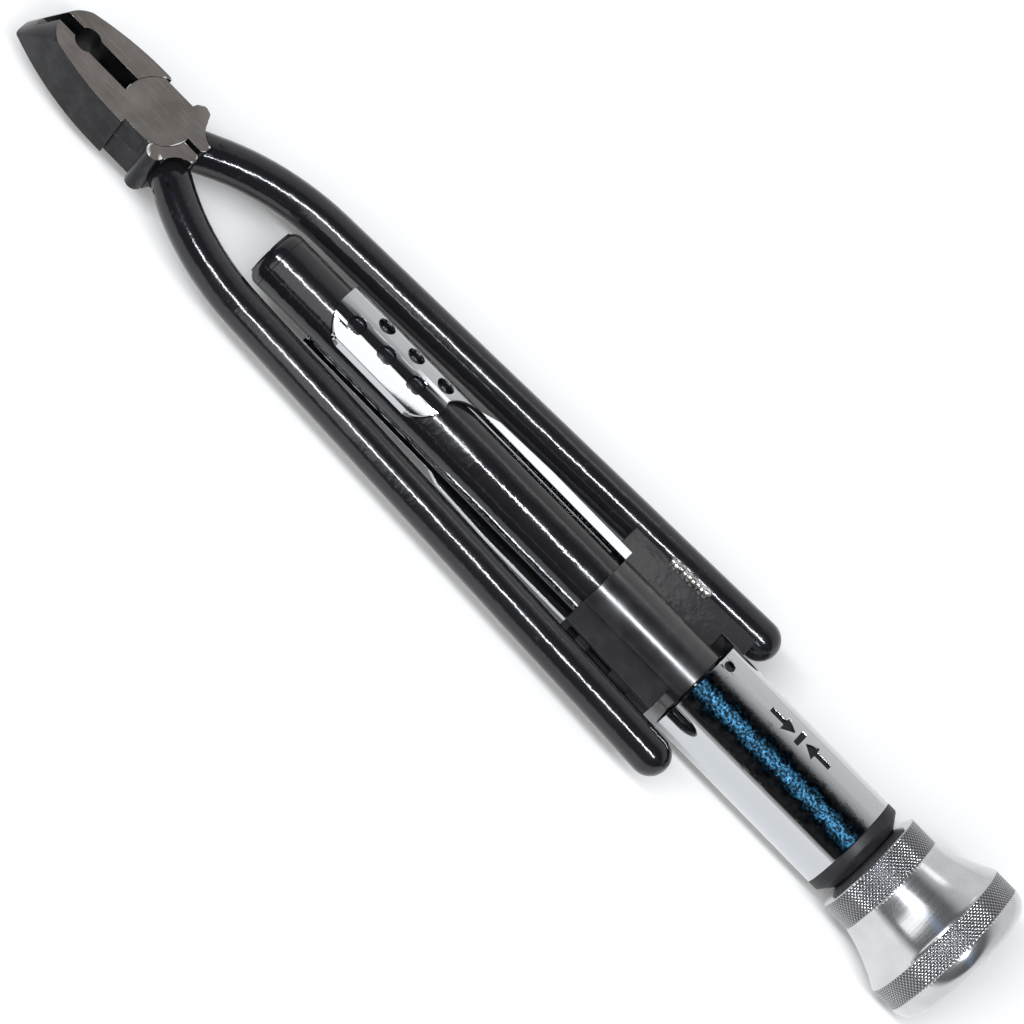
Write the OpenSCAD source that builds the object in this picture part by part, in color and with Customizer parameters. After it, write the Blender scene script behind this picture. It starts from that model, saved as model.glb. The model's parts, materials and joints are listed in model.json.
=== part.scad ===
// Reversible safety-wire twisting pliers.
// +X runs from the head to the pull knob, +Y to the upper handle, +Z up.
// The origin is on the pivot axis, in the flat underside of the head.

/* [Head] */
// Thickness of the closed head
head_t = 13.2; // [12.6:0.2:14]
// Distance from the pivot to the blunt nose
nose_reach = 34.9; // [34:0.1:36]
// Greatest width across both jaws
jaw_w = 17; // [16.8:0.1:17.6]
// Radius of the curved outer side of a jaw
jaw_side_r = 74; // [70:1:80]
// Radius of the lap disc round the pivot
lap_r = 8.9; // [8.8:0.05:9]
// Width across the flats of the hub
hub_w = 14.6; // [14.2:0.1:14.8]
// Radius at which the tails meet the lap
tail_lap_r = 7.4; // [7.2:0.05:7.6]
// Distance from the pivot to the tips of the tails
tail_reach = 11.9; // [11.6:0.1:12.2]
// Radius of the pivot rivet
rivet_r = 3; // [2.6:0.1:3.4]

/* [Jaw mouth] */
// Half width of the wire cutter recess
cutter_half_w = 2.1; // [2:0.05:2.3]
// Half width of the gripping recess at the nose
grip_half_w = 1.5; // [1.2:0.1:1.8]
// Radius of the round hollow between the jaws
hollow_r = 2.95; // [2.9:0.05:3.1]
// Height of the recess floor above the underside
recess_floor = 5; // [4:0.2:6]

/* [Handles] */
// Diameter of the round handle rods
handle_d = 9.2; // [9:0.1:9.4]
// Reach of the handles from the pivot
handle_reach = 170.5; // [168:0.5:172]
// Angle at which the rods leave the head
handle_splay = 32; // [31:0.5:33]
// Bend radius of the rods
handle_bend_r = 59.2; // [58:0.2:60]
// Angle of the long straight stretch
handle_taper = 2.3; // [2.1:0.1:2.5]

/* [Barrel] */
// Outer radius of the spring barrel
barrel_r = 6.9; // [6.8:0.05:7]
// Wall of the spring barrel
barrel_wall = 1.3; // [1.2:0.1:1.4]
// Front of the barrel's cap
barrel_front = 35.9; // [35:0.1:37]
// Outer radius of the spiral rod
rod_r = 2.8; // [2.7:0.05:2.85]
// Thickness of the spiral rod across its flats
rod_flat = 3.4; // [3.3:0.1:3.6]
// Lead of the spiral, for one whole turn
rod_lead = 50; // [48:1:60]

/* [Handle lock] */
// Front end of the lock sleeve
lock_front = 133.8; // [133.4:0.1:134.2]
// Length of the lock sleeve
lock_len = 28.4; // [28:0.1:28.6]
// Outer radius of the lock sleeve
lock_r = 8.2; // [8.1:0.05:8.4]
// Travel of the lock sleeve
lock_travel = 6; // [5:0.5:6]

/* [Thumb plates] */
// Front edge of the thumb plates
plate_front = 53.9; // [53:0.1:56]
// Angle that a plate wraps down from its top line
plate_wrap = 55; // [53:1:58]
// Diameter of the grip holes
plate_hole_d = 4.2; // [3.8:0.1:4.4]
// Pitch of the grip holes along a row
plate_hole_pitch = 8.7; // [8.2:0.1:9]

/* [Direction selector] */
// Front end of the selector sleeve
selector_front = 162.6; // [162.5:0.1:162.8]
// Rear end of the selector sleeve
selector_rear = 208.5; // [208.4:0.1:208.6]
// Outer radius of the selector sleeve
selector_r = 11.7; // [11.6:0.05:11.8]
// Travel of the selector sleeve
selector_travel = 3; // [2.5:0.1:3]

/* [Knob] */
// Radius of the knob's rear grip band
knob_r = 18; // [17.5:0.1:18.4]
// Radius of the knob's front grip band
knob_front_r = 13; // [12.8:0.1:13.2]
// Rear face of the knob
knob_rear = 244.8; // [244:0.1:246]

/* [Hidden] */
$fn = 96;
axis_z = head_t / 2;
lap_gap = 0.1;
run_gap = 0.05;
free_gap = 0.3;
over = 1;
far = 60;

// Head
jaw_half = jaw_w / 2;
jaw_widest_x = 5.8;
jaw_rear_x = 4.2;
mouth_gap = 0.1;
bevel_run = 6.1;
bevel_angle = atan(bevel_run / head_t);
bevel_r = 6.8;
bevel_x = nose_reach - bevel_run - bevel_r / cos(bevel_angle) + 0.25;
hollow_x = 21.75;
cutter_rear_x = 8;
lap_clear = 0.15;
tail_slot = 0.65;
ear_x = 5.1;
ear_y = 7.5;
ear_r = 2.1;
fork_x = 13;
fork_y = 8.6;
fork_r = 5.6;
tail_tip_r = 1.1;
rivet_top = 10.4;
rivet_foot_r = 4.2;
rivet_foot_t = 1.2;

// Handles: a straight root, one bend and a long straight stretch
handle_r = handle_d / 2;
bend_from = [12.5, 6.4];
root_len = 8.5;
bend_to = [bend_from[0] + handle_bend_r * (sin(handle_splay) - sin(handle_taper)),
           bend_from[1] + handle_bend_r * (cos(handle_taper) - cos(handle_splay))];
straight_len = (handle_reach - handle_r - bend_to[0]) / cos(handle_taper);
function handle_y(x) = bend_to[1] + (x - bend_to[0]) * tan(handle_taper);

// Barrel and its web
bore_r = barrel_r - barrel_wall;
cap_len = 3.2;
cap_corner_r = 2.5;
cap_spigot = 4.6;
web_x = [130.6, 159.2];
web_t = 6.4;
web_tail_x = 165.5;
web_tail_y = selector_r + free_gap + 0.2;
bead_r = 0.9;
bead_x = [141.2, 150.8];
bead_count = 9;
bead_stagger = 0.3;
bead_growth = 0.15;

// Lock
slot_t = web_t + 2 * free_gap;
hook_t = 4;
hook_gap = 0.5;
hook_y = [11.5, 13];
guard_x = [133.8, 159.2];
guard_in = hook_t / 2 + free_gap;
guard_t = web_t / 2 - guard_in;
guard_root = barrel_r + free_gap;
guard_wall = 1.7;
guard_gap = 1;
lug_x = [138, 147];
lug_arm = 3.5;
hook_x = [lug_x[0] + lug_arm + lock_travel + hook_gap, 153.6];
lug_y = [9.4, 11];
plate_in = barrel_r + free_gap;
plate_out = lock_r;
plate_side = plate_out * sin(plate_wrap);
plate_rear = 92;
plate_grip_end = 79.5;
plate_tail_y = 5.9;
plate_corner_r = 6;
plate_scoop_r = 9;
plate_low = web_t / 2 + free_gap;
bar_t = 1;
bar_x = [90, 95, 110];
bar_y = [6.6, 8.4, 9.2];
plate_hole_rows = [[19, 64.4], [-19, 60]];
plate_holes = 3;

// Drive: from the front, guide, spring, seat, clutch ring, nut, clutch ring, bushing
journal_r = 1.6;
end_nut_x = 44.6;
guide_x = 46;
twist_x = 52;
spring_x = 51.2;
seat_x = 160;
barrel_rear = 166.2;
spring_r = 4.3;
spring_wire = 0.9;
spring_turns = 16;
spring_steps = 14;
housing_front = 163.2;
housing_r = 10.85;
housing_in = 9;
ring_len = 3.2;
tooth_h = 1;
tooth_count = 12;
tooth_in = 4;
tooth_out = 6.3;
nut_r = 6.5;
nut_x = barrel_rear + ring_len + 2 * tooth_h + free_gap;
nut_len = 12.6;
rear_ring_x = nut_x + nut_len + 2 * tooth_h + free_gap;
washer_x = rear_ring_x + ring_len;
washer_t = 0.6;
snap_x = washer_x + washer_t;
snap_t = 1.2;
snap_r = 9.4;
bushing_x = snap_x + snap_t;
bushing_len = 10.4;
spigot_x = bushing_x + bushing_len;
collar_band = 2.3;
collar_rear = 213;
collar_back_r = 8.8;
neck_r = 8;
neck_rear = 214.8;
rod_hole_r = 3.2;
twist_end = 213;
shank_r = 2.6;
shank_end = 238;

// Selector
selector_wall = 0.8;
selector_in = selector_r - selector_wall;
shift_x = nut_x + 5;
shift_len = 3;
shift_in = nut_r + free_gap + 0.1;
key_r = 1.2;
key_angles = [100, 190];
key_inset = 0.5;
ball_r = 1.2;
ball_x = 164.7;
ball_seat = 7.3;
spring_wire_small = 0.3;
mark_angle = 8;
mark_x = 177;
mark_depth = 0.4;
mark_bar = 1.3;
mark_head_w = 4;
mark_head_len = 3;
mark_len = 7;
mark_gap = 0.9;
dimple_r = 2.2;
dimple_rise = 1.6;

// Knob
knob_front = 213.3;
knob_band = [214.4, 221.3];
knob_rear_band = [234.2, 240];
knob_recess_r = 8.7;
knob_recess_end = 217;
knob_edge_r = knob_rear - knob_rear_band[1];
flare_r = 42;
flare_x = 212.5;
flare_y = 54.1;
screw_head_r = 4;
screw_head_x = 240.5;
screw_r = 1.5;
screw_tip = 228;

black = "#1b1c1f";
satin = "#26272a";
chrome = "#c9ccd1";
steel = "#8d8a86";

// Stands a shape modelled along Z on the barrel's axis, at x0
module axial(x0 = 0) {
    translate([x0, 0, axis_z])
        rotate([0, 90, 0])
            children();
}

// Points a shape modelled along Z outwards from the barrel's axis, at an angle from the top
module radial(x0, angle) {
    translate([x0, 0, axis_z])
        rotate([-angle, 0, 0])
            children();
}

module rod_x(x0, x1, r) {
    axial(x0)
        cylinder(h = x1 - x0, r = r);
}

module tube_x(x0, x1, r_out, r_in) {
    difference() {
        rod_x(x0, x1, r_out);
        rod_x(x0 - over, x1 + over, r_in);
    }
}

// ---- Head ----

// One jaw in plan, on the -Y side of the mouth
module jaw_2d() {
    intersection() {
        translate([-jaw_widest_x, jaw_side_r - jaw_half])
            circle(r = jaw_side_r, $fn = 360);
        translate([-nose_reach, -jaw_w])
            square([nose_reach - jaw_rear_x, jaw_w - mouth_gap / 2]);
    }
}

// One tail in plan, with its round ear and its fishtail, on the +Y side
module tail_2d() {
    difference() {
        union() {
            translate([0, tail_slot])
                square([tail_reach - tail_tip_r, ear_y - tail_slot]);
            translate([tail_reach - tail_tip_r, tail_slot + tail_tip_r])
                circle(r = tail_tip_r);
            translate([tail_reach - tail_tip_r - over, tail_slot + tail_tip_r])
                square([tail_tip_r + over, ear_y - tail_slot - tail_tip_r]);
            translate([ear_x, ear_y])
                circle(r = ear_r);
        }
        translate([fork_x, fork_y])
            circle(r = fork_r);
        translate([0, hub_w / 2])
            square([ear_x - ear_r, jaw_w]);
    }
}

// The round lap at the middle of one half, with the hub's two flats
module lap_2d() {
    intersection() {
        circle(r = lap_r);
        square([jaw_w * 2, hub_w], center = true);
        union() {
            circle(r = tail_lap_r);
            translate([-jaw_w, -jaw_w])
                square([jaw_w, jaw_w * 2]);
        }
    }
}

// One half of the head before the nose and the mouth are cut: the jaw lies on -Y,
// the tail on +Y and the lap in the upper half of the thickness
module plain_half() {
    linear_extrude(head_t) {
        difference() {
            jaw_2d();
            circle(r = lap_r + lap_clear);
        }
        difference() {
            tail_2d();
            circle(r = tail_lap_r + lap_clear);
        }
    }
    translate([0, 0, axis_z + lap_gap / 2])
        linear_extrude(axis_z - lap_gap / 2)
            union() {
                jaw_2d();
                tail_2d();
                lap_2d();
            }
}

// What the long bevel leaves of the nose, from the upper face down to the blunt tip
module nose_envelope() {
    translate([-bevel_x, 0, head_t])
        rotate([0, bevel_angle, 0]) {
            cylinder(r = bevel_r, h = far, center = true);
            translate([0, -far / 2, -far / 2])
                cube(far);
        }
}

// Recesses and hollow between the jaws, open to the upper face and ending at the lap
module mouth() {
    difference() {
        translate([-hollow_x, -cutter_half_w, recess_floor])
            cube([hollow_x - cutter_rear_x, cutter_half_w * 2, head_t]);
        cylinder(h = far, r = lap_r + lap_clear);
    }
    translate([-hollow_x, 0, -over])
        cylinder(h = head_t + 2 * over, r = hollow_r);
    translate([-nose_reach - over, -grip_half_w, recess_floor])
        cube([nose_reach + over - hollow_x, grip_half_w * 2, head_t]);
}

module upper_jaw_half() {
    color(steel)
        difference() {
            intersection() {
                plain_half();
                nose_envelope();
            }
            mouth();
            translate([0, 0, -over])
                cylinder(h = rivet_top + over, r = rivet_r);
            handle_rod();
        }
}

module lower_jaw_half() {
    color(steel)
        difference() {
            intersection() {
                translate([0, 0, head_t])
                    rotate([180, 0, 0])
                        plain_half();
                nose_envelope();
            }
            mouth();
            translate([0, 0, -over])
                cylinder(h = head_t, r = rivet_r + run_gap);
            translate([0, 0, -over])
                cylinder(h = rivet_foot_t + run_gap + over, r = rivet_foot_r + run_gap);
            mirror([0, 1, 0])
                handle_rod();
        }
}

module pivot_rivet() {
    color(steel) {
        cylinder(h = rivet_top, r = rivet_r);
        cylinder(h = rivet_foot_t, r = rivet_foot_r);
    }
}

// ---- Handles ----

// The bent rod of the upper handle, with its root in the tail
module handle_rod() {
    difference() {
        translate([bend_from[0], bend_from[1], axis_z])
            rotate([0, -90, handle_splay])
                cylinder(h = root_len, r = handle_r);
        cylinder(h = head_t, r = tail_lap_r + lap_clear);
        translate([0, tail_slot - far, 0])
            cube([far, far, head_t]);
    }
    translate([bend_from[0] + handle_bend_r * sin(handle_splay),
               bend_from[1] - handle_bend_r * cos(handle_splay), axis_z])
        rotate([0, 0, 90 + handle_taper])
            rotate_extrude(angle = handle_splay - handle_taper)
                translate([handle_bend_r, 0])
                    circle(r = handle_r);
    translate([bend_to[0], bend_to[1], axis_z])
        rotate([0, 90, handle_taper]) {
            cylinder(h = straight_len, r = handle_r);
            translate([0, 0, straight_len])
                sphere(r = handle_r);
        }
}

module upper_handle() {
    color(black)
        handle_rod();
}

module lower_handle() {
    color(black)
        mirror([0, 1, 0])
            handle_rod();
}

// ---- Barrel, fixed to the upper handle ----

module barrel_tube() {
    color(black)
        tube_x(barrel_front + cap_len, barrel_rear, barrel_r, bore_r);
}

module barrel_cap() {
    color(black)
        axial(barrel_front) {
            rotate_extrude() {
                square([barrel_r - cap_corner_r, cap_len]);
                translate([0, cap_corner_r])
                    square([barrel_r, cap_len - cap_corner_r]);
                intersection() {
                    translate([barrel_r - cap_corner_r, cap_corner_r])
                        circle(r = cap_corner_r);
                    square([barrel_r, cap_corner_r]);
                }
            }
            cylinder(h = cap_len + cap_spigot, r = bore_r);
        }
}

// Web in plan; its tail runs on beside the selector sleeve
module web_2d() {
    square([web_x[1] - web_x[0], handle_y(web_x[0]) - over]);
    translate([0, web_tail_y])
        square([web_tail_x - web_x[0], handle_y(web_x[0]) - over - web_tail_y]);
}

module barrel_web() {
    color(black)
        difference() {
            translate([web_x[0], 0, axis_z - web_t / 2])
                linear_extrude(web_t)
                    web_2d();
            rod_x(web_x[0] - over, web_x[1] + over, barrel_r);
            handle_rod();
        }
}

module weld_beads() {
    step = (bead_x[1] - bead_x[0]) / (bead_count - 1);
    color(chrome)
        difference() {
            for (side = [-1, 1], i = [0 : bead_count - 1])
                let (x = bead_x[0] + i * step, y = handle_y(x) - web_t / 2 - bead_stagger * (i % 2))
                    translate([x, y, axis_z + side * (web_t / 2 + bead_growth)])
                        sphere(r = bead_r + bead_growth * (i % 3), $fn = 32);
            handle_rod();
            translate([web_x[0], 0, axis_z - web_t / 2])
                cube([web_x[1] - web_x[0], handle_reach, web_t]);
        }
}

// ---- Handle lock ----

// Sleeve that slides on the barrel; its slot passes the web
module lock_sleeve() {
    rear = lock_front + lock_len;
    color(satin)
        difference() {
            rod_x(lock_front, rear, lock_r);
            rod_x(lock_front - over, rear + over, barrel_r + run_gap);
            translate([lock_front - over, 0, axis_z - slot_t / 2])
                cube([lock_len + 2 * over, far, slot_t]);
        }
}

// Flat bar on the sleeve's -Y side, with its outer edge parallel to the lower handle
module guard_2d(x0, x1) {
    polygon([
        [x0, -guard_root], [x1, -guard_root],
        [x1, guard_gap + handle_r - handle_y(x1)], [x0, guard_gap + handle_r - handle_y(x0)]
    ]);
}

module guard_slab(x0, x1, z0, t) {
    difference() {
        translate([0, 0, axis_z + z0])
            linear_extrude(t)
                guard_2d(x0, x1);
        rod_x(x0 - over, x1 + over, lock_r);
    }
}

// Two cheeks that cover the catch from above and below
module lock_cheeks() {
    color(satin) {
        guard_slab(guard_x[0], guard_x[1], guard_in, guard_t);
        guard_slab(guard_x[0], guard_x[1], -guard_in - guard_t, guard_t);
    }
}

// Front wall between the cheeks
module lock_wall() {
    color(satin)
        guard_slab(guard_x[0], guard_x[0] + guard_wall, -guard_in, 2 * guard_in);
}

// Rear block between the cheeks, with the hook that holds the lug
module lock_hook() {
    color(satin)
        union() {
            guard_slab(hook_x[1], guard_x[1], -guard_in, 2 * guard_in);
            translate([hook_x[0], -hook_y[1], axis_z - guard_in])
                cube([hook_x[1] - hook_x[0] + over, hook_y[1] - hook_y[0], 2 * guard_in]);
        }
}

// Points on an arc about a centre, from one angle to another
function arc(centre, radius, from, to, steps = 12) =
    [for (i = [0 : steps]) let (a = from + (to - from) * i / steps) centre + radius * [cos(a), sin(a)]];

// Plate in plan: full width over the grip, then a narrow strip back to the sleeve
module plate_2d() {
    polygon(concat(
        arc([plate_front + plate_corner_r, plate_corner_r - plate_side], plate_corner_r, 180, 270),
        arc([plate_grip_end, plate_corner_r - plate_side], plate_corner_r, 270, 345),
        arc([plate_rear + 1, plate_tail_y - plate_scoop_r], plate_scoop_r, 160, 105),
        [[lock_front, plate_tail_y], [lock_front, plate_out], [plate_front, plate_out]]
    ));
}

// Flat bar that joins the plate to the sleeve, wider towards the sleeve
module bar_2d() {
    polygon([
        [bar_x[0], plate_tail_y], [lock_front, plate_tail_y], [lock_front, bar_y[2]],
        [bar_x[2], bar_y[2]], [bar_x[1], bar_y[1]], [bar_x[0], bar_y[0]]
    ]);
}

module thumb_plate() {
    difference() {
        translate([0, 0, axis_z + plate_low])
            linear_extrude(bar_t)
                bar_2d();
        rod_x(bar_x[0] - over, lock_front + over, plate_in);
    }
    difference() {
        intersection() {
            tube_x(plate_front, lock_front, plate_out, plate_in);
            translate([0, 0, axis_z])
                linear_extrude(plate_out)
                    plate_2d();
        }
        translate([plate_front - over, 0, 0])
            cube([lock_front - plate_front + 2 * over, plate_out, axis_z + plate_low]);
        for (row = plate_hole_rows, i = [0 : plate_holes - 1])
            radial(row[1] + i * plate_hole_pitch, row[0])
                cylinder(h = far / 2, d = plate_hole_d);
    }
}

module thumb_plate_top() {
    color(chrome)
        thumb_plate();
}

module thumb_plate_bottom() {
    color(chrome)
        translate([0, 0, head_t])
            rotate([180, 0, 0])
                thumb_plate();
}

// Catch on the lower handle
module latch_lug() {
    depth = handle_y(lug_x[0]) - handle_r + over - lug_y[0];
    color(satin)
        difference() {
            union() {
                translate([lug_x[0], -lug_y[0] - depth, axis_z - hook_t / 2])
                    cube([lug_arm, depth, hook_t]);
                translate([lug_x[0], -lug_y[1], axis_z - hook_t / 2])
                    cube([lug_x[1] - lug_x[0], lug_y[1] - lug_y[0], hook_t]);
            }
            mirror([0, 1, 0])
                handle_rod();
        }
}

// ---- Spiral drive ----

// Section of the spiral rod: a round bar with two flats
module rod_2d(grow = 0) {
    intersection() {
        circle(r = rod_r + grow, $fn = 24);
        square([2 * (rod_r + grow), rod_flat + 2 * grow], center = true);
    }
}

// A length of spiral, right-handed and in phase with every other length of it
module spiral(x0, x1, grow = 0) {
    turn = 360 * (x1 - x0) / rod_lead;
    axial(x0)
        rotate([0, 0, 360 * x0 / rod_lead])
            linear_extrude(height = x1 - x0, twist = -turn, slices = ceil(turn / 12), $fn = 0)
                rod_2d(grow);
}

module return_spring() {
    color(steel)
        axial(spring_x + spring_wire)
            linear_extrude(height = seat_x - spring_x - 2 * spring_wire, twist = -360 * spring_turns,
                           slices = spring_turns * spring_steps, $fn = 0)
                translate([spring_r, 0])
                    circle(d = spring_wire, $fn = 6);
}

module spring_guide() {
    color(steel)
        tube_x(guide_x, twist_x - over, bore_r - free_gap, journal_r + run_gap);
}

module spring_seat() {
    color("#b08d57")
        tube_x(seat_x, barrel_rear, bore_r, rod_hole_r);
}

module spiral_rod() {
    color(steel)
        difference() {
            union() {
                rod_x(end_nut_x, twist_x, journal_r);
                spiral(twist_x, twist_end);
                rod_x(twist_end, shank_end, shank_r);
            }
            rod_x(screw_tip, shank_end + over, screw_r);
        }
}

module rod_end_nut() {
    color(steel)
        tube_x(end_nut_x, guide_x - run_gap, bore_r - 2, journal_r);
}

// Fixed housing of the reversing clutch
module clutch_housing() {
    color(steel)
        difference() {
            rod_x(housing_front, selector_rear, housing_r);
            rod_x(housing_front - over, barrel_rear, barrel_r);
            rod_x(barrel_rear, selector_rear + over, housing_in);
            rod_x(snap_x, snap_x + snap_t, snap_r);
            for (angle = key_angles)
                radial(shift_x + shift_len / 2, angle)
                    translate([-selector_travel, 0, 0]) {
                        cylinder(h = far / 2, r = key_r + free_gap);
                        translate([0, -key_r - free_gap, 0])
                            cube([selector_travel, 2 * (key_r + free_gap), far / 2]);
                        translate([selector_travel, 0, 0])
                            cylinder(h = far / 2, r = key_r + free_gap);
                    }
            radial(ball_x, mark_angle)
                translate([0, 0, ball_seat])
                    cylinder(h = far, r = ball_r + run_gap);
        }
}

// Ring of saw teeth standing on z = 0
module teeth() {
    for (i = [0 : tooth_count - 1])
        rotate([90, 0, i * 360 / tooth_count])
            translate([0, 0, -tooth_h])
                linear_extrude(2 * tooth_h)
                    translate([tooth_in, -over / 2])
                        square([tooth_out - tooth_in, tooth_h + over / 2]);
}

module front_clutch_ring() {
    color(steel) {
        tube_x(barrel_rear, barrel_rear + ring_len, housing_in, rod_hole_r);
        axial(barrel_rear + ring_len)
            teeth();
    }
}

module rear_clutch_ring() {
    color(steel) {
        tube_x(rear_ring_x, washer_x, housing_in, rod_hole_r);
        axial(rear_ring_x)
            mirror([0, 0, 1])
                teeth();
    }
}

module drive_nut() {
    color("#b08d57")
        difference() {
            union() {
                rod_x(nut_x, nut_x + nut_len, nut_r);
                axial(nut_x + nut_len)
                    teeth();
                axial(nut_x)
                    mirror([0, 0, 1])
                        teeth();
            }
            spiral(nut_x - over, nut_x + nut_len + over, free_gap);
        }
}

module thrust_washer() {
    color(steel)
        tube_x(washer_x, snap_x, housing_in, rod_hole_r);
}

module retaining_ring() {
    color(steel)
        difference() {
            tube_x(snap_x, bushing_x, snap_r, housing_in - 1.4);
            translate([snap_x - over, -1.5, axis_z - snap_r - over])
                cube([snap_t + 2 * over, 3, snap_r]);
        }
}

module rod_bushing() {
    color("#b08d57")
        tube_x(bushing_x, spigot_x, housing_in, rod_r + 2 * run_gap);
}

// ---- Direction selector ----

// Plain arrow pointing along +X, from its tail at x = 0
module arrow_2d() {
    translate([0, -mark_bar / 2])
        square([mark_len - mark_head_len + over / 2, mark_bar]);
    translate([mark_len - mark_head_len, 0])
        polygon([[0, -mark_head_w / 2], [mark_head_len, 0], [0, mark_head_w / 2]]);
}

// Two arrows that meet at a middle bar
module selector_marks_2d() {
    arrow_2d();
    translate([mark_len + mark_gap, -mark_head_w / 2])
        square([mark_bar, mark_head_w]);
    translate([2 * (mark_len + mark_gap) + mark_bar, 0])
        mirror([1, 0])
            arrow_2d();
}

module selector_sleeve() {
    color(chrome)
        difference() {
            tube_x(selector_front, selector_rear, selector_r, selector_in);
            radial(mark_x, mark_angle)
                translate([0, 0, selector_r - mark_depth])
                    linear_extrude(over)
                        selector_marks_2d();
            radial(ball_x, mark_angle)
                translate([0, 0, selector_r + dimple_rise])
                    sphere(r = dimple_r, $fn = 48);
            for (angle = key_angles)
                radial(shift_x + shift_len / 2, angle)
                    cylinder(h = far, r = key_r);
        }
}

// Ring that carries the selector's movement to the clutch
module shift_ring() {
    color(steel)
        difference() {
            tube_x(shift_x, shift_x + shift_len, housing_in - free_gap, shift_in);
            for (angle = key_angles)
                radial(shift_x + shift_len / 2, angle)
                    cylinder(h = far, r = key_r);
        }
}

module selector_keys() {
    color(steel)
        for (angle = key_angles)
            radial(shift_x + shift_len / 2, angle)
                translate([0, 0, shift_in + key_inset])
                    cylinder(h = selector_in - shift_in, r = key_r);
}

module detent_ball() {
    color(steel)
        radial(ball_x, mark_angle)
            translate([0, 0, housing_r - ball_r])
                sphere(r = ball_r);
}

module detent_spring() {
    color(steel)
        radial(ball_x, mark_angle)
            translate([0, 0, ball_seat + spring_wire_small])
                linear_extrude(height = housing_r - 2 * ball_r - ball_seat - 2 * spring_wire_small,
                               twist = -720, slices = 2 * spring_steps, $fn = 0)
                    translate([ball_r / 2, 0])
                        circle(d = spring_wire_small, $fn = 6);
}

module end_collar() {
    color(satin)
        axial()
            rotate_extrude()
                polygon([
                    [rod_hole_r, spigot_x],
                    [housing_in, spigot_x],
                    [housing_in, selector_rear],
                    [selector_r, selector_rear],
                    [selector_r, selector_rear + collar_band],
                    [collar_back_r, collar_rear],
                    [neck_r, collar_rear],
                    [neck_r, neck_rear],
                    [rod_hole_r, neck_rear]
                ]);
}

// ---- Pull knob ----

module knob_profile_2d() {
    difference() {
        union() {
            polygon([
                [0, knob_front],
                [knob_front_r - 3.5, knob_front],
                [knob_front_r - 1.2, knob_front + 0.6],
                [knob_front_r - 0.3, knob_front + 1],
                [knob_front_r, knob_band[0]],
                [knob_front_r, knob_band[1]],
                [knob_r, knob_rear_band[0] - 0.2],
                [knob_r, knob_rear_band[1]],
                [0, knob_rear_band[1]]
            ]);
            translate([0, knob_rear_band[1]])
                square([knob_r - knob_edge_r, knob_edge_r]);
            translate([knob_r - knob_edge_r, knob_rear_band[1]])
                circle(r = knob_edge_r);
        }
        translate([flare_y, flare_x])
            circle(r = flare_r, $fn = 360);
        translate([-over, knob_front - over])
            square([knob_recess_r + over, knob_recess_end - knob_front + over]);
    }
}

module knob() {
    color("#c6c8ca")
        difference() {
            axial()
                rotate_extrude()
                    knob_profile_2d();
            rod_x(knob_recess_end - over, shank_end, shank_r);
            rod_x(shank_end - over, screw_head_x, screw_r);
            rod_x(screw_head_x, knob_rear + over, screw_head_r + free_gap);
        }
}

module knob_screw() {
    color(steel)
        difference() {
            union() {
                rod_x(screw_tip, screw_head_x, screw_r);
                rod_x(screw_head_x, screw_head_x + 3, screw_head_r);
            }
            axial(screw_head_x + 1.5)
                cylinder(h = 3, r = 1.8, $fn = 6);
        }
}

upper_jaw_half();
lower_jaw_half();
pivot_rivet();
upper_handle();
lower_handle();
barrel_tube();
barrel_cap();
barrel_web();
weld_beads();
lock_sleeve();
lock_cheeks();
lock_wall();
lock_hook();
thumb_plate_top();
thumb_plate_bottom();
latch_lug();
return_spring();
spring_guide();
spring_seat();
spiral_rod();
rod_end_nut();
clutch_housing();
front_clutch_ring();
drive_nut();
rear_clutch_ring();
thrust_washer();
retaining_ring();
rod_bushing();
selector_sleeve();
shift_ring();
selector_keys();
detent_ball();
detent_spring();
end_collar();
knob();
knob_screw();
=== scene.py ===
"""Looks of the reversible safety-wire twisting pliers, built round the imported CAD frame."""
import json
from math import cos, pi, radians, sin, sqrt

import bpy
import numpy as np
from mathutils import Matrix, Vector


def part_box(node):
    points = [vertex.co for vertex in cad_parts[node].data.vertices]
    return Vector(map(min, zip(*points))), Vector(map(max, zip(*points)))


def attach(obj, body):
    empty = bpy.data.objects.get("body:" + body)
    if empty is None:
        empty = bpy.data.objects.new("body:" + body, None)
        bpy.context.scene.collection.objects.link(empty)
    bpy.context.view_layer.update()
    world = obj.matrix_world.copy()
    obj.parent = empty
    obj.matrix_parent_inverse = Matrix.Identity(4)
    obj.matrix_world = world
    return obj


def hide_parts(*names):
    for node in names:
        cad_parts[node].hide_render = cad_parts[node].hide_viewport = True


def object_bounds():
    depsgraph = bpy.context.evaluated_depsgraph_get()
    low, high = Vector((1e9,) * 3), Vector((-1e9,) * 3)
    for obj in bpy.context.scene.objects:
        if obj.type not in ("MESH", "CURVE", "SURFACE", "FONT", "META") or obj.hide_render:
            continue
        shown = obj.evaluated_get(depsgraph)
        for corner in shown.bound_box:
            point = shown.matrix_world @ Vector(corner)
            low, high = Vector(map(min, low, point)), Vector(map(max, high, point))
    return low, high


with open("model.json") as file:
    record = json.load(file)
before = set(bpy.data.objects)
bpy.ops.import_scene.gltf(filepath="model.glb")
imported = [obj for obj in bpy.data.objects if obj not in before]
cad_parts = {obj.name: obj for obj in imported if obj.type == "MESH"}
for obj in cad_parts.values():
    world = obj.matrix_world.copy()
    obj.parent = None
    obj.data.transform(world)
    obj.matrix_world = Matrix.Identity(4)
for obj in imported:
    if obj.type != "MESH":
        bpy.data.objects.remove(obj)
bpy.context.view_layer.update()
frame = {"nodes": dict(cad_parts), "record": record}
NODES = frame["nodes"]
MM = 0.001
# Height of the barrel's axis
AXIS_Z = (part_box("barrel_tube")[0][2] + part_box("barrel_tube")[1][2]) / 2
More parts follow.
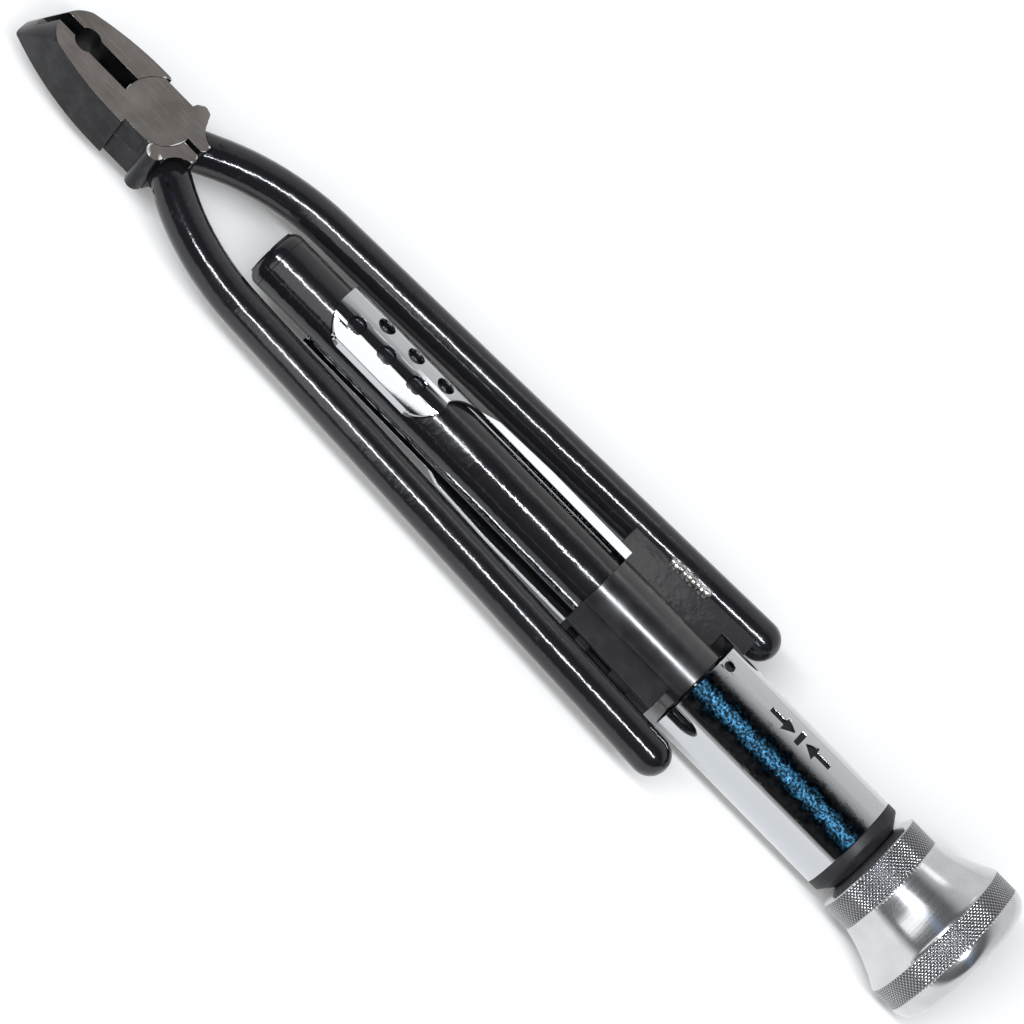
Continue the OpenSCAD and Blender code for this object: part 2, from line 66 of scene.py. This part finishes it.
# Black oxide is polished within this distance of the axis, and dull beyond it
TUBE_R = 8.3 * MM
# The bottoms of the chrome sleeve's engraved marks lie within this distance of the axis
MARK_R = 11.55 * MM
# Middle of the painted blue reflection strip on the chrome sleeve, in degrees round the barrel from
# its top
PAINTED_REFLECTION_SIDE = -32


def add_node(tree, kind, **settings):
    """Adds a node of that kind to a node tree, with those settings."""
    made = tree.nodes.new(kind)
    for key, value in settings.items():
        setattr(made, key, value)
    return made


# ---------------------------------------------------------------- material helpers

class Shader:
    """A node material with one Principled shader, and short ways to add what feeds it."""

    def __init__(self, name, base, rough, metal=0.0, coat=0.0, coat_rough=0.05, spec=0.5):
        self.mat = bpy.data.materials.new(name)
        self.mat.use_nodes = True
        self.tree = self.mat.node_tree
        self.bsdf = self.tree.nodes["Principled BSDF"]
        self.bsdf.inputs["Base Color"].default_value = (*base, 1)
        self.bsdf.inputs["Roughness"].default_value = rough
        self.bsdf.inputs["Metallic"].default_value = metal
        self.bsdf.inputs["Coat Weight"].default_value = coat
        self.bsdf.inputs["Coat Roughness"].default_value = coat_rough
        self.bsdf.inputs["Specular IOR Level"].default_value = spec
        self.place = self.node("ShaderNodeTexCoord").outputs["Object"]
        self.normal = None

    def node(self, kind, **settings):
        return add_node(self.tree, kind, **settings)

    def link(self, source, target):
        self.tree.links.new(source, target)

    def stretch(self, scale, turn=(0, 0, 0)):
        """Coordinates scaled along each axis and turned, for a texture that runs one way."""
        mapping = self.node("ShaderNodeMapping")
        mapping.inputs["Scale"].default_value = scale
        mapping.inputs["Rotation"].default_value = turn
        self.link(self.place, mapping.inputs["Vector"])
        return mapping.outputs["Vector"]

    def noise(self, scale, detail=3.0, rough=0.55, along=None):
        tex = self.node("ShaderNodeTexNoise")
        tex.inputs["Scale"].default_value = scale
        tex.inputs["Detail"].default_value = detail
        tex.inputs["Roughness"].default_value = rough
        self.link(along if along else self.place, tex.inputs["Vector"])
        return tex.outputs["Fac"]

    def ramp(self, value, low, high, out_low=0.0, out_high=1.0):
        fit = self.node("ShaderNodeMapRange")
        fit.inputs["From Min"].default_value = low
        fit.inputs["From Max"].default_value = high
        fit.inputs["To Min"].default_value = out_low
        fit.inputs["To Max"].default_value = out_high
        self.link(value, fit.inputs["Value"])
        return fit.outputs["Result"]

    def math(self, how, a, b):
        made = self.node("ShaderNodeMath", operation=how)
        for socket, value in zip(made.inputs, (a, b)):
            if isinstance(value, (int, float)):
                socket.default_value = value
            else:
                self.link(value, socket)
        return made.outputs[0]

    def mix(self, factor, a, b):
        made = self.node("ShaderNodeMix", data_type="RGBA")
        self.link(factor, made.inputs["Factor"])
        for socket, value in ((made.inputs["A"], a), (made.inputs["B"], b)):
            if isinstance(value, tuple):
                socket.default_value = (*value, 1)
            else:
                self.link(value, socket)
        return made.outputs["Result"]

    def color(self, source):
        self.link(source, self.bsdf.inputs["Base Color"])

    def rough(self, source):
        self.link(source, self.bsdf.inputs["Roughness"])

    def bump(self, height, depth, strength=1.0):
        """Adds a bump of that depth in metres on top of any earlier one."""
        made = self.node("ShaderNodeBump")
        made.inputs["Strength"].default_value = strength
        made.inputs["Distance"].default_value = depth
        self.link(height, made.inputs["Height"])
        if self.normal:
            self.link(self.normal, made.inputs["Normal"])
        self.normal = made.outputs["Normal"]
        self.link(self.normal, self.bsdf.inputs["Normal"])

    def facing_z(self):
        """How far the surface faces up or down: 1 on a flat upper or lower face, 0 on a side."""
        axes = self.node("ShaderNodeSeparateXYZ")
        self.link(self.node("ShaderNodeTexCoord").outputs["Normal"], axes.inputs[0])
        return self.math("ABSOLUTE", axes.outputs["Z"], 0.0)

    def across_barrel(self):
        """Sideways and upward distance from the barrel's axis, in metres."""
        axes = self.node("ShaderNodeSeparateXYZ")
        self.link(self.place, axes.inputs[0])
        return axes.outputs["Y"], self.math("SUBTRACT", axes.outputs["Z"], AXIS_Z)

    def turned_from(self, degrees):
        """Angle round the barrel from that angle off its top, in degrees, never negative."""
        side, high = self.across_barrel()
        turn = self.math("DEGREES", self.math("ARCTAN2", side, high), 0.0)
        return self.math("ABSOLUTE", self.math("SUBTRACT", turn, degrees), 0.0)

    def from_axis(self):
        """Distance from the barrel's axis, in metres."""
        side, high = self.across_barrel()
        squares = self.math("ADD", self.math("POWER", side, 2.0), self.math("POWER", high, 2.0))
        return self.math("SQRT", squares, 0.0)


# ---------------------------------------------------------------- materials

def gloss_black():
    """Thick gloss enamel with the soft beading of a dipped coat, dust specks and rubbed patches."""
    s = Shader("gloss_black_enamel", (0.004, 0.004, 0.005), 0.2, spec=0.5)
    s.bump(s.noise(240, 2.0, 0.5), 0.00022, 0.5)
    s.bump(s.noise(900, 3.0, 0.6), 0.00007, 0.55)
    s.rough(s.ramp(s.noise(90, 4.0), 0.3, 0.75, 0.08, 0.18))
    specks = s.ramp(s.noise(420, 4.0, 0.7), 0.62, 0.74)
    s.color(s.mix(specks, (0.004, 0.004, 0.005), (0.014, 0.014, 0.016)))
    return s.mat


def satin_black():
    """Black oxide: polished on the turned tube, dull and a little blotchy elsewhere."""
    s = Shader("satin_black_oxide", (0.008, 0.008, 0.009), 0.42, spec=0.5)
    s.bump(s.noise(60, 4.0, along=s.stretch((60, 1, 1))), 0.000012, 0.6)
    s.bump(s.noise(700, 3.0), 0.00003, 0.4)
    blotch = s.ramp(s.noise(130, 4.0), 0.3, 0.7, -0.04, 0.06)
    off_tube = s.ramp(s.from_axis(), TUBE_R, TUBE_R + 0.1 * MM)
    s.rough(s.math("ADD", blotch, s.ramp(off_tube, 0, 1, 0.22, 0.5)))
    s.link(s.ramp(off_tube, 0, 1, 0.75, 0.3), s.bsdf.inputs["Specular IOR Level"])
    worn = s.ramp(s.noise(240, 5.0), 0.45, 0.75)
    s.color(s.mix(worn, (0.004, 0.004, 0.005), (0.011, 0.011, 0.012)))
    return s.mat


def ground_steel():
    """Surface-ground flats with a brown cast, bare ground chamfers painted near white as a highlight,
    and dark forged sides.
    """
    s = Shader("ground_head_steel", (0.3, 0.28, 0.27), 0.4, metal=0.9)
    up = s.facing_z()
    scratches = s.noise(9, 6.0, 0.7, along=s.stretch((14, 260, 60), (0, 0, radians(38))))
    stain = s.noise(120, 5.0)
    flat = s.mix(s.ramp(stain, 0.35, 0.7), (0.125, 0.112, 0.103), (0.185, 0.167, 0.155))
    flat = s.mix(s.ramp(scratches, 0.52, 0.75), flat, (0.215, 0.198, 0.186))
    side = s.mix(s.ramp(s.noise(300, 5.0), 0.4, 0.7), (0.012, 0.012, 0.013), (0.028, 0.028, 0.029))
    # Painted highlight: faces sloped like the chamfers, bare ground metal, get a near-white colour
    # where light catches the edges.
    side_and_painted_edge_highlight = s.mix(s.ramp(up, 0.52, 0.6), side, (0.88, 0.87, 0.86))
    s.color(s.mix(s.ramp(up, 0.93, 0.97), side_and_painted_edge_highlight, flat))
    s.rough(s.math("ADD", s.ramp(up, 0.93, 0.97, 0.30, 0.42), s.ramp(stain, 0.3, 0.7, -0.04, 0.06)))
    s.bump(scratches, 0.00002, 0.5)
    s.bump(s.noise(900, 4.0), 0.00002, 0.5)
    return s.mat


def chrome(name, reflection_and_marks):
    """Mirror plate with fine scratches. The sleeve's one has a painted blue reflection with sparkles
    on a pitted strip, and dark marks.
    """
    tint = (0.52, 0.535, 0.55)
    s = Shader(name, tint, 0.045, metal=1.0)
    hair = s.noise(7, 6.0, 0.75, along=s.stretch((6, 420, 420), (0, 0, radians(4))))
    smear = s.noise(70, 4.0)
    rough = s.math("ADD", s.ramp(smear, 0.35, 0.75, 0.03, 0.07), s.ramp(hair, 0.6, 0.78, 0.0, 0.07))
    color = s.mix(s.ramp(hair, 0.6, 0.8), tint, tuple(c * 0.9 for c in tint))
    s.bump(hair, 0.000008, 0.4)
    s.bump(s.noise(45, 2.0), 0.00012, 0.2)
    if reflection_and_marks:
        # Painted reflection: a blue strip with sparkles, laid along the side of the sleeve where the
        # strip light and the blue band reflect.
        ragged = s.ramp(s.noise(420, 5.0, 0.7), 0.3, 0.7, -8, 8)
        edge = s.math("ADD", s.turned_from(PAINTED_REFLECTION_SIDE), ragged)
        strip = s.ramp(edge, 12, 24, 1.0, 0.0)
        sparkle_and_pits = s.noise(1500, 3.0, 0.7)
        painted_blue_reflection = s.mix(s.ramp(sparkle_and_pits, 0.46, 0.72), (0.002, 0.004, 0.006), (0.022, 0.085, 0.15))
        color = s.mix(strip, color, painted_blue_reflection)
        rough = s.math("MAXIMUM", rough, s.ramp(edge, 4, 16, 0.34, 0.0))
        s.bump(s.math("MULTIPLY", sparkle_and_pits, strip), 0.00005, 0.7)
        mark = s.ramp(s.from_axis(), MARK_R - 0.05 * MM, MARK_R, 1.0, 0.0)
        color = s.mix(mark, color, (0.03, 0.03, 0.03))
    s.color(color)
    s.rough(rough)
    return s.mat


def aluminium():
    """Bright turned aluminium with very fine rings round the knob, and painted shade where a groove
    is deep.
    """
    s = Shader("turned_aluminium", (0.60, 0.61, 0.62), 0.2, metal=0.955)
    rings = s.noise(5, 4.0, 0.7, along=s.stretch((420, 2, 2)))
    s.rough(s.ramp(rings, 0.3, 0.75, 0.13, 0.22))
    tone = s.mix(s.ramp(s.noise(160, 4.0), 0.35, 0.7), (0.50, 0.51, 0.515), (0.58, 0.585, 0.59))
    tone = s.mix(s.ramp(rings, 0.6, 0.85), tone, (0.46, 0.465, 0.47))
    # Painted shade: the colour darkens towards the bottom of each deep knurl groove.
    low = s.node("ShaderNodeAttribute", attribute_name="groove").outputs["Fac"]
    s.color(s.mix(s.ramp(low, 0.15, 0.75), tone, (0.09, 0.09, 0.095)))
    s.bump(rings, 0.000008, 0.4)
    return s.mat


def plain_metal(name, base, rough):
    """Machined inner pieces, lightly oiled."""
    s = Shader(name, base, rough, metal=1.0)
    s.rough(s.ramp(s.noise(200, 4.0), 0.3, 0.7, rough - 0.08, rough + 0.12))
    s.color(s.mix(s.ramp(s.noise(90, 4.0), 0.4, 0.7), base, tuple(c * 0.7 for c in base)))
    s.bump(s.noise(40, 5.0, along=s.stretch((40, 1, 1))), 0.00001, 0.5)
    return s.mat


def weld():
    """Bare, rippled weld metal with heat tint."""
    s = Shader("weld_metal", (0.6, 0.6, 0.6), 0.3, metal=1.0)
    s.color(s.mix(s.ramp(s.noise(500, 4.0), 0.4, 0.65), (0.75, 0.74, 0.73), (0.20, 0.18, 0.17)))
    s.bump(s.noise(900, 3.0), 0.0002, 0.7)
    return s.mat


SLOT_LOOKS = {
    "gloss_black_paint": gloss_black(),
    "satin_black_metal": satin_black(),
    "ground_steel": ground_steel(),
    "polished_chrome": chrome("chrome_plate", False),
    "knurled_aluminium": aluminium(),
    "dark_steel": plain_metal("machined_steel", (0.42, 0.41, 0.40), 0.32),
    "weld_metal": weld(),
    "bronze": plain_metal("bearing_bronze", (0.55, 0.38, 0.17), 0.30),
}

# The selector sleeve's chrome, with its painted blue reflection strip.
SLEEVE_CHROME_PAINTED_REFLECTION = chrome("chrome_plate_painted_blue_reflection", True)

# Width of the broken edge on the nodes whose edges catch light, in mm
EDGE_MM = {
    "upper_jaw_half": 0.3, "lower_jaw_half": 0.3, "latch_lug": 0.3, "barrel_web": 0.3,
    "end_collar": 0.25, "lock_sleeve": 0.25,
    "barrel_tube": 0.2, "lock_cheeks": 0.2, "lock_hook": 0.2,
    "selector_sleeve": 0.12, "thumb_plate_top": 0.12, "thumb_plate_bottom": 0.12,
}
EDGE_TURN = radians(32)
MERGE_WITHIN = 0.02 * MM


def dress_cad_nodes():
    """Gives every CAD node its material, and a soft edge where edges catch light."""
    slots = {row["node"]: row["material_slot"] for row in frame["record"]["subparts"]}
    for name, obj in NODES.items():
        obj.data.materials.clear()
        look = SLEEVE_CHROME_PAINTED_REFLECTION if name == "selector_sleeve" else SLOT_LOOKS[slots[name]]
        obj.data.materials.append(look)
        merge = obj.modifiers.new("weld", "WELD")
        merge.merge_threshold = MERGE_WITHIN
        if name in EDGE_MM:
            bevel = obj.modifiers.new("edge", "BEVEL")
            bevel.width = EDGE_MM[name] * MM
            bevel.segments = 1
            bevel.limit_method = "ANGLE"
            bevel.angle_limit = EDGE_TURN
            flatten = obj.modifiers.new("even_shading", "WEIGHTED_NORMAL")
            flatten.weight = 100


# ---------------------------------------------------------------- the knob

KNURL_TEETH = {"front": 84, "rear": 112}
KNOB_STEPS = 672
KNURL_DEPTH = 0.34 * MM
KNURL_FADE = 0.35 * MM
GROOVE_SHAPE = 1.3
KNOB_CREASE = radians(75)
# Where the bands and the flare lie, behind the knob's front face or ahead of its rear face
FRONT_BAND = (1.1 * MM, 8.0 * MM)
REAR_BAND_START = 20.9 * MM
REAR_EDGE = 4.8 * MM
FLARE_BEFORE = 0.8 * MM
FLARE_OUT = 54.1 * MM
FLARE_R = 42 * MM
# The front band is smaller than the rear one by this much in radius
FRONT_LESS = 5.0 * MM
# The screw's counterbore in the rear face, the rod's bore and the hollow behind the front face
COUNTERBORE = (4.3 * MM, 4.3 * MM)
BORE_R = 2.7 * MM
HOLLOW_DEPTH = 3.7 * MM
FRONT_WALL = 4.3 * MM


def groove(t):
    """How deep a straight knurl groove is at t, with one groove at each whole number."""
    return abs(2 * (t - np.floor(t)) - 1) ** GROOVE_SHAPE


def knurl(x, theta, teeth, radius, start, end):
    """Drop of a diamond-knurled surface, fading out at the band's ends."""
    pitch = 2 * pi * radius / teeth
    around = theta * teeth / (2 * pi)
    deep = np.maximum(groove(around + (x - start) / pitch), groove(around - (x - start) / pitch))
    fade = min(1.0, (x - start) / KNURL_FADE, (end - x) / KNURL_FADE)
    return KNURL_DEPTH * deep * max(0.0, fade)


def arc_points(cx, cr, radius, start, end, steps):
    """(x, r) points on an arc, with the angle measured from +x towards +r, in degrees."""
    angles = [radians(start + (end - start) * i / steps) for i in range(steps + 1)]
    return [(cx + radius * cos(a), cr + radius * sin(a)) for a in angles]


def knob_profile():
    """Closed outline of the knob as (x, r, band), where band names the knurl on that stretch."""
    low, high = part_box("knob")
    front, rear, big = low[0], high[0], (high[2] - low[2]) / 2
    small = big - FRONT_LESS
    front_band = (front + FRONT_BAND[0], front + FRONT_BAND[1])
    rear_band = (front + REAR_BAND_START, rear - REAR_EDGE)
    edge = rear - rear_band[1]
    points = [(front, small - FRONT_WALL, None), (front, small - 3.5 * MM, None)]
    points += [(front + 0.6 * MM, small - 1.2 * MM, None), (front + 1.0 * MM, small - 0.3 * MM, None)]
    points += [(x, small, "front") for x in np.linspace(*front_band, 57)]
    for x in np.linspace(front_band[1], rear_band[0], 26)[1:-1]:
        rise = sqrt(FLARE_R ** 2 - (x - front + FLARE_BEFORE) ** 2)
        points.append((x, FLARE_OUT - rise, None))
    points += [(x, big, "rear") for x in np.linspace(*rear_band, 47)]
    points += [(x, r, None) for x, r in arc_points(rear_band[1], big - edge, edge, 90, 0, 14)[1:]]
    points += [(rear, r, None) for r in (11 * MM, 8 * MM, 4.9 * MM)]
    depth, radius = COUNTERBORE
    points += [(rear - 0.3 * MM, 4.4 * MM, None), (rear - depth, radius, None)]
    points += [(rear - depth, BORE_R, None), (front + HOLLOW_DEPTH, BORE_R, None)]
    points += [(front + HOLLOW_DEPTH, small - FRONT_WALL, None)]
    bands = {
        "front": (KNURL_TEETH["front"], small, *front_band),
        "rear": (KNURL_TEETH["rear"], big, *rear_band),
    }
    return points, bands


def build_knob():
    """The pull knob with its diamond knurl in the mesh."""
    points, bands = knob_profile()
    theta = np.arange(KNOB_STEPS) * 2 * pi / KNOB_STEPS
    verts, grooves = [], []
    for x, r, band in points:
        radius = np.full(KNOB_STEPS, r)
        if band:
            radius = radius - knurl(x, theta, *bands[band])
        grooves += list((r - radius) / KNURL_DEPTH)
        verts += [(x, rr * sin(t), AXIS_Z + rr * cos(t)) for rr, t in zip(radius, theta)]
    rings = len(points)
    faces = []
    for i in range(rings):
        j = (i + 1) % rings
        this, after = i * KNOB_STEPS, j * KNOB_STEPS
        for k in range(KNOB_STEPS):
            n = (k + 1) % KNOB_STEPS
            faces.append((this + k, this + n, after + n, after + k))
    mesh = bpy.data.meshes.new("pull_knob")
    mesh.from_pydata(verts, [], faces)
    mesh.attributes.new("groove", "FLOAT", "POINT").data.foreach_set("value", grooves)
    mesh.shade_smooth()
    mesh.set_sharp_from_angle(angle=KNOB_CREASE)
    obj = bpy.data.objects.new("pull_knob", mesh)
    bpy.context.collection.objects.link(obj)
    obj.data.materials.append(SLOT_LOOKS["knurled_aluminium"])
    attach(obj, "knob_and_rod")
    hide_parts("knob")


# ---------------------------------------------------------------- stage, lights and camera

CAMERA_TILT = radians(35.5)
CAMERA_ROLL = radians(45.6)
CAMERA_FAR = 1.1
CAMERA_X = 0.119
AIM_X = 0.1101
AIM_DROP = 0.0019
FRAME_WIDTH = 0.214
SENSOR_MM = 36
FLOOR_SIZE = 6
FLOOR_X = 0.1
FLOOR_GAP = 0.2 * MM


def tool_axes():
    """The tool's X axis, the direction across it in the picture and the direction to the camera."""
    across = Vector((0, cos(CAMERA_TILT), sin(CAMERA_TILT)))
    toward = Vector((0, -sin(CAMERA_TILT), cos(CAMERA_TILT)))
    return Vector((1, 0, 0)), across, toward


def side_of_tool(degrees):
    """Direction across the tool at that angle from the camera's side, positive towards +Y."""
    _, across, toward = tool_axes()
    return toward * cos(radians(degrees)) + across * sin(radians(degrees))


def make_camera():
    """A long lens far off, looking across the tool, rolled so that the tool lies on a diagonal."""
    along, across, toward = tool_axes()
    target = Vector((AIM_X, 0, AXIS_Z)) - across * AIM_DROP
    place = Vector((CAMERA_X, 0, AXIS_Z)) + toward * CAMERA_FAR
    back = (place - target).normalized()
    right = along * cos(CAMERA_ROLL) + across * sin(CAMERA_ROLL)
    right = (right - back * right.dot(back)).normalized()
    up = back.cross(right)
    data = bpy.data.cameras.new("camera")
    data.sensor_width = SENSOR_MM
    data.lens = SENSOR_MM * CAMERA_FAR / FRAME_WIDTH
    data.clip_start = 0.01
    cam = bpy.data.objects.new("camera", data)
    bpy.context.collection.objects.link(cam)
    turn = Matrix((right, up, back)).transposed().to_4x4()
    cam.matrix_world = Matrix.Translation(place) @ turn
    bpy.context.scene.camera = cam


def make_floor():
    """A plain pale floor just under the tool."""
    low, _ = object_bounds()
    bpy.ops.mesh.primitive_plane_add(size=FLOOR_SIZE, location=(FLOOR_X, 0, low[2] - FLOOR_GAP))
    floor = bpy.context.object
    floor.name = "floor"
    s = Shader("pale_floor", (0.46, 0.46, 0.46), 0.9, spec=0.0)
    s.rough(s.ramp(s.noise(12), 0.3, 0.7, 0.86, 0.94))
    floor.data.materials.append(s.mat)


def area_light(name, degrees, x, reach, aim_x, size, energy, tint=(1, 1, 1)):
    """A rectangular light that far from the barrel's axis, on that side, aimed at the axis."""
    place = Vector((x, 0, AXIS_Z)) + side_of_tool(degrees) * reach
    aim = Vector((aim_x, 0, AXIS_Z))
    data = bpy.data.lights.new(name, "AREA")
    data.shape = "RECTANGLE"
    data.size, data.size_y = size
    data.energy = energy
    data.color = tint
    obj = bpy.data.objects.new(name, data)
    obj.location = place
    obj.rotation_euler = (aim - place).to_track_quat("-Z", "Y").to_euler()
    bpy.context.collection.objects.link(obj)


# What polished metal reflects round the tool's length: degrees from the camera's side, colour
STUDIO = [
    (-180, (0.8, 0.8, 0.8)), (-70, (0.55, 0.56, 0.57)), (-62, (0.05, 0.05, 0.05)),
    (-57, (0.7, 0.7, 0.7)), (-51, (0.6, 0.6, 0.6)), (-46, (0.02, 0.02, 0.022)),
    (0, (0.02, 0.02, 0.024)), (3, (0.10, 0.16, 0.3)), (14, (0.10, 0.16, 0.3)),
    (18, (0.02, 0.02, 0.024)), (46, (0.03, 0.03, 0.032)), (62, (0.55, 0.56, 0.57)),
    (85, (0.85, 0.85, 0.85)), (180, (1.0, 1.0, 1.0)),
]
# Brightness, narrowness and side of the white light that everything else receives
FILL = 7.0
FILL_SPREAD = 6.0
FILL_SIDE = -3


def make_world():
    """White light from the camera's side, and bands for the polished metal to reflect."""
    world = bpy.data.worlds.new("studio")
    bpy.context.scene.world = world
    world.use_nodes = True
    tree = world.node_tree
    background = tree.nodes["Background"]
    direction = add_node(tree, "ShaderNodeTexCoord").outputs["Generated"]

    def along(axis):
        made = add_node(tree, "ShaderNodeVectorMath", operation="DOT_PRODUCT")
        made.inputs[1].default_value = axis
        tree.links.new(direction, made.inputs[0])
        return made.outputs["Value"]

    def math(how, source, value):
        made = add_node(tree, "ShaderNodeMath", operation=how)
        made.inputs[1].default_value = value
        tree.links.new(source, made.inputs[0])
        return made.outputs[0]

    _, across, toward = tool_axes()
    turn = add_node(tree, "ShaderNodeMath", operation="ARCTAN2")
    for socket, axis in zip(turn.inputs, (across, toward)):
        tree.links.new(along(axis), socket)
    fit = add_node(tree, "ShaderNodeMapRange")
    fit.inputs["From Min"].default_value = -pi
    fit.inputs["From Max"].default_value = pi
    tree.links.new(turn.outputs[0], fit.inputs["Value"])
    bands = add_node(tree, "ShaderNodeValToRGB")
    stops = bands.color_ramp.elements
    while len(stops) < len(STUDIO):
        stops.new(0.5)
    for stop, (angle, colour) in zip(stops, STUDIO):
        stop.position = (angle + 180) / 360
        stop.color = (*colour, 1)
    tree.links.new(fit.outputs["Result"], bands.inputs["Fac"])

    lobe = math("MAXIMUM", along(side_of_tool(FILL_SIDE)), 0.0)
    fill = math("MULTIPLY", math("POWER", lobe, FILL_SPREAD), FILL)
    choose = add_node(tree, "ShaderNodeMix", data_type="RGBA")
    glossy = add_node(tree, "ShaderNodeLightPath").outputs["Is Glossy Ray"]
    tree.links.new(glossy, choose.inputs["Factor"])
    tree.links.new(fill, choose.inputs["A"])
    tree.links.new(bands.outputs["Color"], choose.inputs["B"])
    tree.links.new(choose.outputs["Result"], background.inputs["Color"])
    background.inputs["Strength"].default_value = 1


def make_lights():
    """A long strip that draws a line on every rod, and a box each for the thumb plate and its bar."""
    area_light("strip", 6, 0.105, 1.2, 0.105, (1.3, 0.09), 22, (0.93, 0.96, 1.0))
    area_light("plate_box", -9, 0.044, 0.25, 0.073, (0.068, 0.27), 0.105)
    area_light("bar_box", 71, 0.111, 0.3, 0.113, (0.09, 0.06), 0.02)


bpy.context.scene.view_settings.view_transform = "Standard"
dress_cad_nodes()
build_knob()
make_camera()
make_world()
make_lights()
make_floor()
